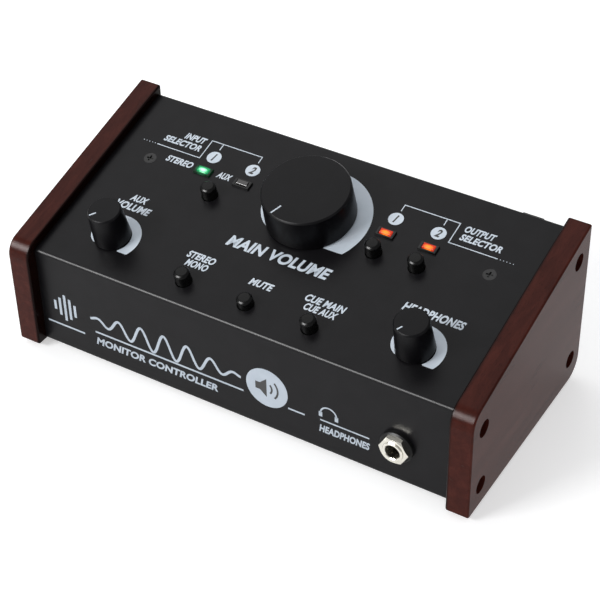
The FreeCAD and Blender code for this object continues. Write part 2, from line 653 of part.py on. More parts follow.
def xlr_outlet(x):
    """A flanged output connector: an open cup around three pins."""
    mouth = REAR + FLANGE
    body = disc(SOCKET_RADIUS, CONNECTOR_FRONT, mouth, (x, FLANGED_Z), Y_AXIS).fuse(flange(x))
    body = body.cut(disc(9.7, mouth - 15, mouth + 1, (x, FLANGED_Z), Y_AXIS))
    for at in xlr_pin_places(x):
        body = body.cut(disc(1.2, CONNECTOR_FRONT + 1, mouth, at, Y_AXIS))
    return body


def xlr_pin_places(x):
    return [(x + 4.0 * math.cos(math.radians(a)), FLANGED_Z + 4.0 * math.sin(math.radians(a)))
            for a in (45, 135, 270)]


def xlr_pins():
    pins = []
    for x in XLR_X:
        for at in xlr_pin_places(x):
            pin = disc(1.2, CONNECTOR_FRONT + 1, REAR + FLANGE - 1.5, at, Y_AXIS)
            tip = [e for e in pin.Edges if isinstance(e.Curve, Part.Circle) and e.CenterOfMass.y > REAR - 1]
            pins.append(pin.makeFillet(0.6, tip))
    return pins


def line_jack(z):
    """An output socket with a threaded barrel through the rear panel."""
    at = (LINE_JACK_X, z)
    inside = REAR - SHEET - 0.2
    case = box((LINE_JACK_X - 6, LINE_JACK_X + 6), (CONNECTOR_FRONT, inside), (z - 6, z + 6))
    barrel = disc(JACK_BARREL, inside - 1, REAR + 3.4, at, Y_AXIS)
    return case.fuse(barrel).cut(disc(JACK_BORE, CONNECTOR_FRONT + 1.5, REAR + 5, at, Y_AXIS))


def line_jack_nut(z):
    nut = prism(11.4, 0.02, 2.4).cut(disc(JACK_BARREL + 0.05, -1, 4))
    return turned_to(nut, Y_AXIS, Vector(LINE_JACK_X, REAR, z))


def mini_jack():
    x, z = MINI_JACK_AT
    inside = REAR - SHEET - 0.2
    case = box((x - 4, x + 4), (CONNECTOR_FRONT, inside), (z - 4, z + 4))
    barrel = disc(MINI_BARREL, inside - 1, REAR + 1.6, MINI_JACK_AT, Y_AXIS)
    return case.fuse(barrel).cut(disc(MINI_BORE, inside - 12.5, REAR + 2, MINI_JACK_AT, Y_AXIS))


def dc_inlet():
    """A square power inlet with a round socket around its centre pin and two legs in the board."""
    x, z = DC_AT
    block = box((x - DC_WIDTH / 2, x + DC_WIDTH / 2), (DC_LEG_Y - 1.5, REAR + DC_REACH),
                (z - DC_HEIGHT / 2, z + DC_HEIGHT / 2))
    block = block.makeFillet(0.6, [e for e in block.Edges if e.CenterOfMass.y > REAR + DC_REACH - 0.1])
    under_top = tilt(box((x - DC_WIDTH, x + DC_WIDTH), (60, 140), (-SHEET - GAP, 20)))
    block = block.cut(under_top)
    block = block.cut(disc(DC_SOCKET, REAR + DC_REACH - DC_SOCKET_DEPTH, REAR + DC_REACH + 1, DC_AT, Y_AXIS))
    for leg in dc_legs(0.4):
        block = block.fuse(leg)
    return block.cut(disc(DC_STUB, REAR - 8, REAR, DC_AT, Y_AXIS))


def dc_legs(radius):
    """The inlet's legs, or with a larger radius their holes in the board."""
    low = DC_AT[1] - DC_HEIGHT / 2
    return [disc(radius, low - 6, low + 0.5, (DC_AT[0] + dx, DC_LEG_Y)) for dx in (-2.5, 2.5)]


def dc_inlet_pin():
    """The centre pin: free in the socket, on a thinner stub moulded into the block."""
    pin = disc(DC_PIN, REAR + DC_REACH - DC_SOCKET_DEPTH, REAR + DC_REACH - 0.8, DC_AT, Y_AXIS)
    tip = [e for e in pin.Edges if isinstance(e.Curve, Part.Circle) and e.CenterOfMass.y > REAR + 1]
    return pin.makeFillet(0.4, tip).fuse(disc(DC_STUB, REAR - 8, REAR, DC_AT, Y_AXIS))


def connector_screws():
    screws = []
    for x in COMBO_X + XLR_X:
        for side in (-1, 1):
            at = Vector(x + side * FLANGE_SCREW_X, REAR + FLANGE, FLANGED_Z + side * FLANGE_SCREW_Z)
            screws.append(turned_to(pan_screw(5.5, 2.6, 1.4), Y_AXIS, at))
    return screws


# ---------------------------------------------------------------- assembly

def build():
    os.makedirs("parts", exist_ok=True)
    save("top_cover", top_cover())
    save("base_tray", base_tray())
    save("left_cheek", cheek(-1))
    save("right_cheek", cheek(1))
    save("cheek_screws", *cheek_screws())
    save("top_screws", *[tilt(top_screw(), side * TOP_SCREW_AT[0], TOP_SCREW_AT[1]) for side in (-1, 1)])
    base_screws, nuts = base_fixings()
    pads, foot_screws = feet()
    save("base_clinch_nuts", *nuts)
    save("feet", *pads)
    save("underside_screws", *base_screws, *foot_screws)

    for name, control in CONTROLS.items():
        at = control["at"]
        knob = main_knob() if name == "main" else small_knob()
        save(f"{name}_knob", tilt(knob, *at))
        save(f"{name}_pot_shaft", tilt(shaft(control["shaft"]), *at))
        save(f"{name}_pot_body", tilt(pot_body(*control["case"], control["bush"]), *at))
    save("pot_nuts", *[tilt(pot_nut(c["nut"], c["bush"]), *c["at"]) for c in CONTROLS.values()])
    save("pot_washers", *[tilt(pot_washer(c["washer"], c["bush"]), *c["at"]) for c in CONTROLS.values()])
    for name, at, latched in BUTTONS:
        save(f"{name}_button", tilt(button_cap(latched), *at))
        save(f"{name}_plunger", tilt(plunger(latched), *at))
    save("switch_bodies", *[tilt(switch_body(), *at) for _, at, _ in BUTTONS])
    save("stereo_lamp", tilt(lamp(), SWITCH_MIDDLE - LAMP_X[1], LAMP_V))
    save("aux_lamp", tilt(lamp(), SWITCH_MIDDLE - LAMP_X[0], LAMP_V))
    save("output_lamps", *[tilt(lamp(), SWITCH_MIDDLE + x, LAMP_V) for x in LAMP_X])
    save("lamp_bezels", *[tilt(lamp_bezel(), SWITCH_MIDDLE + side * x, LAMP_V)
                          for side in (-1, 1) for x in LAMP_X])

    save("control_board", control_board())
    save("main_board", main_board())
    save("rear_board", rear_board())
    standoffs, screws = board_fixings()
    save("board_standoffs", *standoffs)
    save("board_screws", *screws)
    save("filter_capacitors", *filter_capacitors())
    save("amplifier_chips", *amplifier_chips())
    save("ribbon_cables", *ribbon_cables())

    save("phones_jack", phones_jack())
    save("phones_jack_bush", phones_jack_bush())
    save("phones_jack_collar", phones_jack_collar())
    save("phones_jack_nut", phones_jack_nut())
    for name, combo_x, xlr_x in (("left", COMBO_X[1], XLR_X[1]), ("right", COMBO_X[0], XLR_X[0])):
        save(f"combo_socket_{name}", combo_socket(combo_x))
        save(f"xlr_outlet_{name}", xlr_outlet(xlr_x))
    save("xlr_pins", *xlr_pins())
    save("line_jacks", *[line_jack(z) for z in LINE_JACK_Z])
    save("line_jack_nuts", *[line_jack_nut(z) for z in LINE_JACK_Z])
    save("aux_mini_jack", mini_jack())
    save("dc_inlet", dc_inlet())
    save("dc_inlet_pin", dc_inlet_pin())
    save("connector_screws", *connector_screws())


build()
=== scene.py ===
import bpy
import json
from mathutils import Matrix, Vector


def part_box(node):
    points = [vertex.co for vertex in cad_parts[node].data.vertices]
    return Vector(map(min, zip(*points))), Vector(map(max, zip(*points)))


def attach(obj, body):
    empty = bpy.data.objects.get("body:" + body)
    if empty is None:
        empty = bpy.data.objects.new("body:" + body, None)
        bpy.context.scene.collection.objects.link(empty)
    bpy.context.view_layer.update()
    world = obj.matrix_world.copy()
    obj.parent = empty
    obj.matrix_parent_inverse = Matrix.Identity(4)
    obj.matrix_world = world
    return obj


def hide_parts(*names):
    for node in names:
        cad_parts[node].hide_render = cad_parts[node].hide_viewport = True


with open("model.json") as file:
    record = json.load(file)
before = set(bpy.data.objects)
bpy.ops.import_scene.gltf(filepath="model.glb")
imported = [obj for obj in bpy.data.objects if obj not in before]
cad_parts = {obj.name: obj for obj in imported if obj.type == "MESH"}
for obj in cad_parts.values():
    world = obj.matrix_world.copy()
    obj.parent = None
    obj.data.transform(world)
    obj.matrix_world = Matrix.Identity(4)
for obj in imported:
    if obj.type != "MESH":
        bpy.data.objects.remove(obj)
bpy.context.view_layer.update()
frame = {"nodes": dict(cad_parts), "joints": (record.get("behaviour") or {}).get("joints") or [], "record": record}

import json
import math

import bmesh
import bpy
from mathutils import Matrix, Quaternion, Vector

# Looks of a desktop monitor controller: black powder-coated steel between lacquered wooden cheeks.
# Every surface below is drawn in millimetres on its own plane, and its matrix carries it to metres.

MM = 0.001
X = Vector((1, 0, 0))
Z = Vector((0, 0, 1))
SCENE = bpy.context.scene
JOINTS = {joint["name"]: joint for joint in frame["joints"]}


def plane(across, up, origin):
    """A surface's matrix: x across, y up, z out of it, in millimetres."""
    matrix = Matrix((across, up, across.cross(up))).transposed().to_4x4()
    matrix.translation = origin
    return matrix @ Matrix.Scale(MM, 4)


MAIN = JOINTS["main_volume_turn"]
UP_SLOPE = X.cross(Vector(MAIN["axis"]))
COVER_LOW, COVER_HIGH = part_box("top_cover")
CHEEK_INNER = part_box("right_cheek")[0].x
TOP = plane(X, UP_SLOPE, Vector(MAIN["pos_m"]))                            # from the main knob's middle
FRONT = plane(X, Z, Vector((0, COVER_LOW.y, COVER_LOW.z)))                 # from the lower edge
REAR = plane(-X, Z, Vector((0, COVER_HIGH.y, COVER_LOW.z)))


def top_place(point):
    """A point of the frame as (x, y) on the top."""
    place = TOP.inverted() @ Vector(point)
    return place.x, place.y


def middle(node):
    """The middle of a node's box, in the frame's metres."""
    low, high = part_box(node)
    return (low + high) / 2


# ---------------------------------------------------------------- camera

TARGET = Vector((2.4, -0.5, 31.9)) * MM
DISTANCE = 755.2 * MM
AZIMUTH = math.radians(31.88)
ELEVATION = math.radians(39.34)
ROLL = math.radians(-1.3)
LENS = 107.0


def add_camera():
    """The camera, looking at the target from its azimuth and elevation."""
    data = bpy.data.cameras.new("camera")
    data.lens = LENS
    data.sensor_width = 36.0
    data.clip_start = 0.05
    camera = bpy.data.objects.new("camera", data)
    back = Vector((math.sin(AZIMUTH) * math.cos(ELEVATION), -math.cos(AZIMUTH) * math.cos(ELEVATION),
                   math.sin(ELEVATION)))
    camera.location = TARGET + back * DISTANCE
    camera.rotation_mode = "QUATERNION"
    camera.rotation_quaternion = (-back).to_track_quat("-Z", "Y") @ Quaternion((0, 0, 1), ROLL)
    SCENE.collection.objects.link(camera)
    SCENE.camera = camera


add_camera()


# ---------------------------------------------------------------- materials

def nodes_of(name):
    """A new material with its shader, and a function that adds nodes to it."""
    material = bpy.data.materials.new(name)
    material.use_nodes = True
    tree = material.node_tree
    shader = tree.nodes["Principled BSDF"]

    def add(kind, **values):
        node = tree.nodes.new(kind)
        for key, value in values.items():
            if hasattr(node, key):
                setattr(node, key, value)
            else:
                node.inputs[key].default_value = value
        return node

    return material, tree, shader, add


def ramp(add, tree, source, stops):
    """A colour ramp from (position, colour) stops."""
    node = add("ShaderNodeValToRGB")
    elements = node.color_ramp.elements
    while len(elements) < len(stops):
        elements.new(0.5)
    for element, (position, colour) in zip(elements, stops):
        element.position = position
        element.color = (*colour, 1.0)
    tree.links.new(source, node.inputs["Fac"])
    return node


def multiplied(add, tree, first, second, share):
    """The product of two colour sockets, mixed in as far as share says."""
    node = add("ShaderNodeMix", data_type="RGBA", blend_type="MULTIPLY")
    node.inputs["Factor"].default_value = share
    colour_a, colour_b, result = node.inputs[6], node.inputs[7], node.outputs[2]
    tree.links.new(first, colour_a)
    tree.links.new(second, colour_b)
    return result


def grey(value):
    """A colour without a hue."""
    return (value, value, value)


def finish(name, dark, light, rough, grain, bump, grain_scale, stretch=(1, 1, 1), **shader_values):
    """A surface whose colour and roughness drift with noise, with a fine bump of its own grain.

    grain is the share that the roughness varies by, grain_scale the number of grains in a metre.
    """
    material, tree, shader, add = nodes_of(name)
    for key, value in shader_values.items():
        shader.inputs[key.replace("_", " ")].default_value = value
    place = add("ShaderNodeTexCoord")
    stretched = add("ShaderNodeMapping", Scale=stretch)
    tree.links.new(place.outputs["Object"], stretched.inputs["Vector"])
    drift = add("ShaderNodeTexNoise", Scale=grain_scale * 0.04, Detail=4.0)
    fine = add("ShaderNodeTexNoise", Scale=grain_scale, Detail=3.0)
    for noise in (drift, fine):
        tree.links.new(stretched.outputs["Vector"], noise.inputs["Vector"])
    colour = ramp(add, tree, drift.outputs["Fac"], ((0.3, dark), (0.7, light)))
    tree.links.new(colour.outputs["Color"], shader.inputs["Base Color"])
    roughness = ramp(add, tree, fine.outputs["Fac"], ((0.3, grey(rough * (1 - grain))),
                                                     (0.7, grey(rough * (1 + grain)))))
    tree.links.new(roughness.outputs["Color"], shader.inputs["Roughness"])
    relief = add("ShaderNodeBump", Strength=bump, Distance=0.0002)
    tree.links.new(fine.outputs["Fac"], relief.inputs["Height"])
    tree.links.new(relief.outputs["Normal"], shader.inputs["Normal"])
    return material


def wood():
    """Dark red-brown lacquered wood, its grain running front to back, with painted shade and a painted dark
    reflection on the side that faces the case.
    """
    material, tree, shader, add = nodes_of("cheek_wood")
    shader.inputs["Specular IOR Level"].default_value = 0.06
    place = add("ShaderNodeTexCoord")
    along = add("ShaderNodeMapping", Scale=(1.0, 0.07, 1.0))
    tree.links.new(place.outputs["Object"], along.inputs["Vector"])
    rings = add("ShaderNodeTexNoise", Scale=260.0, Detail=6.0, Roughness=0.6, Distortion=0.6)
    pores = add("ShaderNodeTexNoise", Scale=2400.0, Detail=2.0)
    for noise in (rings, pores):
        tree.links.new(along.outputs["Vector"], noise.inputs["Vector"])
    colour = ramp(add, tree, rings.outputs["Fac"], ((0.25, (0.030, 0.0062, 0.0042)),
                                                    (0.5, (0.044, 0.0092, 0.0060)),
                                                    (0.75, (0.064, 0.0140, 0.0092))))
    pore_shade = ramp(add, tree, pores.outputs["Fac"], ((0.30, grey(0.55)), (0.42, grey(1.0))))
    grained = multiplied(add, tree, colour.outputs["Color"], pore_shade.outputs["Color"], 0.7)
    # Painted shade and dark reflection: the wood's colour is cut to 0.12 on the faces that look into the case.
    parts = add("ShaderNodeSeparateXYZ")
    tree.links.new(place.outputs["Object"], parts.inputs["Vector"])
    sideways = add("ShaderNodeMath", operation="ABSOLUTE")
    tree.links.new(parts.outputs["X"], sideways.inputs[0])
    inner_face_shade = add("ShaderNodeMapRange")
    tree.links.new(sideways.outputs["Value"], inner_face_shade.inputs["Value"])
    for value, setting in (("From Min", CHEEK_INNER + 0.4 * MM), ("From Max", CHEEK_INNER + 1.4 * MM),
                           ("To Min", 0.12), ("To Max", 1.0)):
        inner_face_shade.inputs[value].default_value = setting
    shaded_inside = multiplied(add, tree, grained, inner_face_shade.outputs["Result"], 1.0)
    tree.links.new(shaded_inside, shader.inputs["Base Color"])
    roughness = ramp(add, tree, rings.outputs["Fac"], ((0.3, grey(0.28)), (0.7, grey(0.22))))
    tree.links.new(roughness.outputs["Color"], shader.inputs["Roughness"])
    relief = add("ShaderNodeBump", Strength=0.05, Distance=0.0002)
    tree.links.new(pores.outputs["Fac"], relief.inputs["Height"])
    tree.links.new(relief.outputs["Normal"], shader.inputs["Normal"])
    return material


def lit(name, centre, half, glow, body, strength, spread=0.0):
    """A lit lens, or a frame with its lamp's light painted on as a glow: bright in the middle, deeper in colour
    towards the rim.

    centre is in the frame's metres, half its half length and half width in millimetres. glow holds the
    light's colours from the middle to the rim, body the plastic's own two, and spread is half the distance
    between two lamps that share the material.
    """
    material, tree, shader, add = nodes_of(name)
    shader.inputs["Roughness"].default_value = 0.35
    shader.inputs["Specular IOR Level"].default_value = 0.15
    place = add("ShaderNodeTexCoord")
    offset = add("ShaderNodeVectorMath", operation="SUBTRACT")
    offset.inputs[1].default_value = centre
    tree.links.new(place.outputs["Object"], offset.inputs[0])
    folded = add("ShaderNodeVectorMath", operation="ABSOLUTE")
    tree.links.new(offset.outputs["Vector"], folded.inputs[0])
    nearest = add("ShaderNodeVectorMath", operation="SUBTRACT")
    nearest.inputs[1].default_value = (spread * MM, 0.0, 0.0)
    tree.links.new(folded.outputs["Vector"], nearest.inputs[0])
    scaled = add("ShaderNodeVectorMath", operation="MULTIPLY")
    scaled.inputs[1].default_value = (1 / (half[0] * MM), 1 / (half[1] * MM), 0.0)
    tree.links.new(nearest.outputs["Vector"], scaled.inputs[0])
    reach = add("ShaderNodeVectorMath", operation="LENGTH")
    tree.links.new(scaled.outputs["Vector"], reach.inputs[0])
    grain = add("ShaderNodeTexNoise", Scale=900.0, Detail=2.0)
    tree.links.new(place.outputs["Object"], grain.inputs["Vector"])
    uneven = add("ShaderNodeMath", operation="MULTIPLY_ADD")
    uneven.inputs[1].default_value = 0.25
    tree.links.new(grain.outputs["Fac"], uneven.inputs[0])
    tree.links.new(reach.outputs["Value"], uneven.inputs[2])
    light = ramp(add, tree, uneven.outputs["Value"], tuple(zip((0.35, 0.80, 1.2), glow)))
    tree.links.new(light.outputs["Color"], shader.inputs["Emission Color"])
    plastic = ramp(add, tree, grain.outputs["Fac"], tuple(zip((0.3, 0.7), body)))
    tree.links.new(plastic.outputs["Color"], shader.inputs["Base Color"])
    shader.inputs["Emission Strength"].default_value = strength
    return material


CASE = finish("case_black", (0.0045, 0.0042, 0.0050), (0.0064, 0.0060, 0.0070), 0.33, 0.10, 0.08, 2600.0,
              Specular_IOR_Level=0.12)
WOOD = wood()
KNOB = finish("knob_black", (0.0020, 0.0018, 0.0024), (0.0028, 0.0026, 0.0034), 0.33, 0.08, 0.06, 3500.0,
              Specular_IOR_Level=0.11)
BUTTON = finish("button_black", grey(0.0025), grey(0.004), 0.26, 0.15, 0.02, 2500.0, Specular_IOR_Level=0.12)
BEZEL = finish("bezel_black", grey(0.003), grey(0.005), 0.30, 0.12, 0.03, 2500.0, Specular_IOR_Level=0.24)
SMOKE = finish("lamp_smoke", (0.016, 0.014, 0.014), (0.024, 0.021, 0.020), 0.22, 0.15, 0.03, 1500.0)
SCREW = finish("screw_black", grey(0.007), grey(0.012), 0.34, 0.15, 0.06, 3000.0, Specular_IOR_Level=0.30)
PLASTIC = finish("socket_black", grey(0.005), grey(0.008), 0.42, 0.12, 0.06, 2500.0, Specular_IOR_Level=0.15)
STEEL = finish("steel", (0.46, 0.47, 0.49), (0.58, 0.59, 0.60), 0.32, 0.18, 0.05, 2500.0, (1, 1, 12),
               Metallic=1.0)
NICKEL = finish("nickel", (0.62, 0.60, 0.53), (0.74, 0.72, 0.65), 0.20, 0.20, 0.04, 2500.0, Metallic=1.0)
GOLD = finish("contact_gold", (0.72, 0.50, 0.20), (0.83, 0.62, 0.28), 0.25, 0.15, 0.03, 2500.0, Metallic=1.0)
RUBBER = finish("rubber_black", grey(0.014), grey(0.022), 0.78, 0.08, 0.20, 2200.0)
BOARD = finish("board_green", (0.012, 0.075, 0.036), (0.020, 0.110, 0.055), 0.40, 0.10, 0.05, 900.0)
CABLE = finish("cable_grey", grey(0.26), grey(0.33), 0.50, 0.08, 0.10, 900.0, (1, 0.1, 0.1))
CAN = finish("can_black", (0.010, 0.010, 0.022), (0.016, 0.016, 0.034), 0.26, 0.12, 0.03, 1500.0)
INK = finish("ink_white", (0.56, 0.63, 0.70), (0.63, 0.69, 0.76), 0.50, 0.08, 0.04, 3000.0,
             Specular_IOR_Level=0.2)
FRONT_INK = finish("ink_front", (0.39, 0.44, 0.50), (0.44, 0.49, 0.55), 0.50, 0.08, 0.04, 3000.0,
                   Specular_IOR_Level=0.2)
DARK_INK = finish("ink_dark", grey(0.018), grey(0.024), 0.50, 0.08, 0.04, 3000.0)


# ---------------------------------------------------------------- mesh helpers, in millimetres

def loft(loops, closed=False):
    """Loops of points joined one after another; open ends are capped, or the last joins the first."""
    bm = bmesh.new()
    rings = [[bm.verts.new(point) for point in loop] for loop in loops]
    pairs = list(zip(rings, rings[1:]))
    if closed:
        pairs.append((rings[-1], rings[0]))
    for low, high in pairs:
        for k in range(len(low)):
            following = (k + 1) % len(low)
            bm.faces.new((low[k], low[following], high[following], high[k]))
    if not closed:
        bm.faces.new(rings[0][::-1])
        bm.faces.new(rings[-1])
    return bm


def circle(radius, height, count):
    """A level circle's points about z."""
    turn = 2 * math.pi / count
    return [(radius * math.cos(turn * k), radius * math.sin(turn * k), height) for k in range(count)]


def turned(profile, count):
    """A solid of revolution about z. The profile's (radius, height) points run from axis to axis."""
    return loft([circle(radius, height, count) for radius, height in profile[1:-1]])


def rounded(points, radius, steps=6):
    """An open profile with its inner corners turned into arcs."""
    smooth = [points[0]]
    for before, corner, after in zip(points, points[1:], points[2:]):
        corner2 = Vector(corner)
        to_before = Vector(before) - corner2
        to_after = Vector(after) - corner2
        angle = to_before.angle(to_after)
        reach = min(radius / math.tan(angle / 2), to_before.length * 0.49, to_after.length * 0.49)
        start = corner2 + to_before.normalized() * reach
        end = corner2 + to_after.normalized() * reach
        for k in range(steps + 1):
            t = k / steps
            smooth.append(tuple(start * (1 - t) ** 2 + corner2 * 2 * t * (1 - t) + end * t ** 2))
    smooth.append(points[-1])
    return smooth


def rounded_box(half_x, half_y, radius, height):
    """A rounded rectangle's points."""
    points = []
    steps = 5
    for quarter, (sx, sy) in enumerate(((1, 1), (-1, 1), (-1, -1), (1, -1))):
        for k in range(steps + 1):
            angle = math.pi / 2 * (quarter + k / steps)
            points.append((sx * (half_x - radius) + radius * math.cos(angle),
                           sy * (half_y - radius) + radius * math.sin(angle), height))
    return points


def prism(outline, low, high):
    """A flat shape with a thickness."""
    return loft([[(x, y, low) for x, y in outline], [(x, y, high) for x, y in outline]])


def merge(target, source, matrix=None):
    """Adds one bmesh to another and frees it."""
    if matrix is not None:
        source.transform(matrix)
    mesh = bpy.data.meshes.new("scratch")
    source.to_mesh(mesh)
    source.free()
    target.from_mesh(mesh)
    bpy.data.meshes.remove(mesh)
    return target


def piece(name, bm, place, material, body="case", smooth=35):
    """A finished object from a mesh in millimetres on a plane."""
    bm.transform(place)
    bmesh.ops.recalc_face_normals(bm, faces=bm.faces)
    mesh = bpy.data.meshes.new(name)
    bm.to_mesh(mesh)
    bm.free()
    mesh.materials.append(material)
    mesh.shade_smooth()
    mesh.set_sharp_from_angle(angle=math.radians(smooth))
    made = bpy.data.objects.new(name, mesh)
    SCENE.collection.objects.link(made)
    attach(made, body)
    return made


# ---------------------------------------------------------------- printing

INK_DEPTH = 0.03
LINE_WIDTH = 0.42
SLANT = 0.20
BOLD = 0.038
OVER_INK = 0.6 * INK_DEPTH  # where dark print on a white disc begins
LETTER_SPACING = 1.04
SWITCH_MIDDLE = top_place(middle("mute_button"))[0]


def words(text, x, y, width, height, align="middle", slant=SLANT):
    """A line of plain capitals fitted to a width and a height; x is its middle, left or right end."""
    data = bpy.data.curves.new("words", "FONT")
    data.body = text
    data.shear = slant
    data.offset = BOLD
    data.space_character = LETTER_SPACING
    data.extrude = 0.5
    data.resolution_u = 6
    holder = bpy.data.objects.new("words", data)
    SCENE.collection.objects.link(holder)
    bpy.context.view_layer.update()
    mesh = bpy.data.meshes.new_from_object(holder.evaluated_get(bpy.context.evaluated_depsgraph_get()))
    bpy.data.objects.remove(holder)
    bpy.data.curves.remove(data)
    bm = bmesh.new()
    bm.from_mesh(mesh)
    bpy.data.meshes.remove(mesh)
    bmesh.ops.remove_doubles(bm, verts=bm.verts, dist=0.0001)
    low = Vector([min(vert.co[k] for vert in bm.verts) for k in range(3)])
    high = Vector([max(vert.co[k] for vert in bm.verts) for k in range(3)])
    left = {"left": x, "middle": x - width / 2, "right": x - width}[align]
    for vert in bm.verts:
        share = [(vert.co[k] - low[k]) / (high[k] - low[k]) for k in range(3)]
        vert.co = (left + share[0] * width, y + share[1] * height, share[2] * INK_DEPTH)
    return bm


def line(points, width, low=0.0, high=INK_DEPTH):
    """A printed line of even width along points, mitred at its bends."""
    left = []
    right = []
    for k, point in enumerate(points):
        here = Vector(point)
        ways = []
        if k > 0:
            ways.append((here - Vector(points[k - 1])).normalized())
        if k < len(points) - 1:
            ways.append((Vector(points[k + 1]) - here).normalized())
        way = sum(ways, Vector((0, 0))).normalized()
        side = Vector((-way.y, way.x))
        reach = width / 2 / max(0.3, abs(way.dot(ways[0])))
        left.append(here + side * reach)
        right.append(here - side * reach)
    outline = [tuple(p) for p in left + right[::-1]]
    return prism(outline, low, high)


def dot(x, y, radius, count=48):
    """A printed disc."""
    turn = 2 * math.pi / count
    outline = [(x + radius * math.cos(turn * k), y + radius * math.sin(turn * k)) for k in range(count)]
    return prism(outline, 0.0, INK_DEPTH)


def arc(x, y, radius, start, end):
    """Points of an arc between two angles in degrees."""
    count = 32
    angles = [math.radians(start + (end - start) * k / count) for k in range(count + 1)]
    return [(x + radius * math.cos(a), y + radius * math.sin(a)) for a in angles]


SCALE_START = 225           # degrees, where a volume scale begins
SCALE_SWEEP = 270
SCALE_GROWTH = 0.19         # the share of the sweep in which it reaches most of its width


def crescent(x, y, inner, full, cut):
    """A volume scale that widens clockwise round a knob, cut off level at both ends.

    full is its greatest width, cut how far below the knob's middle its ends are.
    """
    inside = []
    outside = []
    count = 120
    for k in range(count + 1):
        share = k / count
        angle = math.radians(SCALE_START - SCALE_SWEEP * share)
        outer = inner + full * (1 - math.exp(-share / SCALE_GROWTH))
        if math.sin(angle) < 0:
            outer = min(outer, cut / -math.sin(angle))
        if outer > inner + 0.02:
            inside.append((x + inner * math.cos(angle), y + inner * math.sin(angle)))
            outside.append((x + outer * math.cos(angle), y + outer * math.sin(angle)))
    return prism(inside + outside[::-1], 0.0, INK_DEPTH)


# ---------------------------------------------------------------- finishes of the CAD nodes

FINISHES = {
    "case_black": CASE, "cheek_wood": WOOD, "knob_black": KNOB, "button_black": BUTTON,
    "bezel_black": BEZEL, "lamp_smoke": SMOKE, "screw_black": SCREW, "socket_black": PLASTIC,
    "steel": STEEL, "nickel": NICKEL, "contact_gold": GOLD, "rubber_black": RUBBER,
    "board_green": BOARD, "cable_grey": CABLE, "can_black": CAN,
}
LENS_HALF = (2.7, 1.25)
LENS_TOP = 1.15
GREEN_GLOW = ((0.62, 1.0, 0.76), (0.16, 0.72, 0.34), (0.006, 0.20, 0.07))
GREEN_BODY = ((0.01, 0.10, 0.04), (0.015, 0.13, 0.05))
AMBER_GLOW = ((1.0, 0.36, 0.030), (0.95, 0.17, 0.014), (0.50, 0.025, 0.010))
AMBER_BODY = ((0.10, 0.012, 0.003), (0.13, 0.018, 0.004))
# Painted glow: the green lamp's light painted onto the frame round its lens.
FRAME_PAINTED_GLOW = ((0.10, 0.60, 0.25), (0.008, 0.16, 0.055), (0.0, 0.010, 0.003))
FRAME_BODY = ((0.002, 0.010, 0.005), (0.003, 0.016, 0.007))
AMBER_LOW, AMBER_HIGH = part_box("output_lamps")
AMBER_SPREAD = (AMBER_HIGH.x - AMBER_LOW.x) / MM / 2 - LENS_HALF[0]


def lens_middle(node):
    """The middle of a lens's visible face, or of the two lenses in one node, in the frame's metres."""
    x, y = top_place(middle(node))
    return TOP @ Vector((x, y, LENS_TOP))


FINISHES["lamp_green"] = lit("lamp_green", lens_middle("stereo_lamp"), LENS_HALF, GREEN_GLOW,
                             GREEN_BODY, 1.5)
FINISHES["lamp_amber"] = lit("lamp_amber", lens_middle("output_lamps"), LENS_HALF, AMBER_GLOW,
                             AMBER_BODY, 1.1, AMBER_SPREAD)


def paint_cad():
    """Gives every CAD node the finish that its record names."""
    for subpart in frame["record"]["subparts"]:
        mesh = frame["nodes"][subpart["node"]].data
        material = FINISHES[subpart["material_slot"]]
        mesh.materials.clear()
        mesh.materials.append(material)
        mesh.shade_smooth()
        mesh.set_sharp_from_angle(angle=math.radians(35))


paint_cad()


# ---------------------------------------------------------------- knobs and buttons

KNOB_START = 0.8            # a knob's lower rim above the panel
KNOB_SKIRT = 1.8            # where its side begins to lean in
KNOB_CHAMFER = 0.7
KNOB_EDGE = 0.3
BOSS_START = 5.6
SHAFT_HOLE = 3.05
POINTER_WIDTH = 0.6
POINTER_DEPTH = 0.2


def shell(hollow, skirt, shoulder, flat, crown, top):
    """The outside of a knob, from its hollow's lower edge to its top: five radii and its height."""
    corners = [(hollow + 0.1, KNOB_START), (skirt, KNOB_START), (skirt, KNOB_SKIRT),
               (shoulder, top - KNOB_CHAMFER), (flat, top), (crown, top)]
    return [(hollow, KNOB_START + 0.05)] + rounded(corners, KNOB_EDGE) + [(0, top)]


def knob(name, body, joint, profile, pointer):
    """A turned knob on its joint's axis with a white line on its top.

    pointer holds the line's two radii and its angle in degrees.
    """
    x, y = top_place(JOINTS[joint]["pos_m"])
    place = TOP @ Matrix.Translation((x, y, 0))
    made = piece(f"{name}_turned", turned(profile, 128), place, KNOB, body, 40)
    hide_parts(name)
    inner, outer, angle = pointer
    top = profile[-1][1]
    way = Vector((math.cos(math.radians(angle)), math.sin(math.radians(angle))))
    mark = line([tuple(way * inner), tuple(way * outer)], POINTER_WIDTH, top - POINTER_DEPTH, top + INK_DEPTH)
    piece(f"{name}_pointer", mark, place, INK, body)


MAIN_PROFILE = [(0, 12.6), (SHAFT_HOLE, 12.6), (SHAFT_HOLE, BOSS_START), (5.5, BOSS_START), (5.5, 13.9),
                (17.2, 13.9)] + shell(17.2, 19.5, 19.1, 18.5, 10.0, 16.2)
SMALL_PROFILE = [(0, 14.0), (SHAFT_HOLE, 14.0), (SHAFT_HOLE, BOSS_START),
                 (6.5, BOSS_START)] + shell(6.5, 8.1, 7.25, 6.7, 4.0, 17.2)
knob("main_knob", "main_volume", "main_volume_turn", MAIN_PROFILE, (12.9, 18.2, -112.5))
knob("aux_knob", "aux_volume", "aux_volume_turn", SMALL_PROFILE, (3.5, 6.5, -130.0))
knob("phones_knob", "phones_volume", "phones_volume_turn", SMALL_PROFILE, (4.0, 6.5, -121.0))


